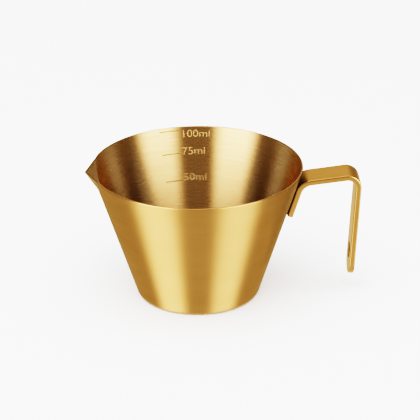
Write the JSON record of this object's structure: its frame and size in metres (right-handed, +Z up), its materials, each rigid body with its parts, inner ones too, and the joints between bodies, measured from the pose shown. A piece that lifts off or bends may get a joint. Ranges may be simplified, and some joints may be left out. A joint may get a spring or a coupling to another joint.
{
  "type": "spouted measuring cup",
  "caption": "Conical metal measuring cup with a V pouring spout, etched level marks and an open strip handle with a hanging hole.",
  "frame": {"origin": "centre of the flat base, on the axis of the conical cup", "axes": "+X towards the handle, -X towards the spout, +Z up out of the cup; the level marks are on the +Y side of the inside wall"},
  "size_m": [0.091, 0.0698, 0.045],
  "materials": {
    "brushed_gold": "gold-coloured coating over steel brushed around the axis",
    "satin_gold": "gold-coloured coating over steel brushed along the strip, with polished edges",
    "weld_steel": "melted steel, hidden between tab and wall"
  },
  "bodies": {
    "root": {"cup_body": "brushed_gold", "handle_strap": "satin_gold", "weld_nugget_lower": "weld_steel", "weld_nugget_upper": "weld_steel"}
  },
  "joints": []
}
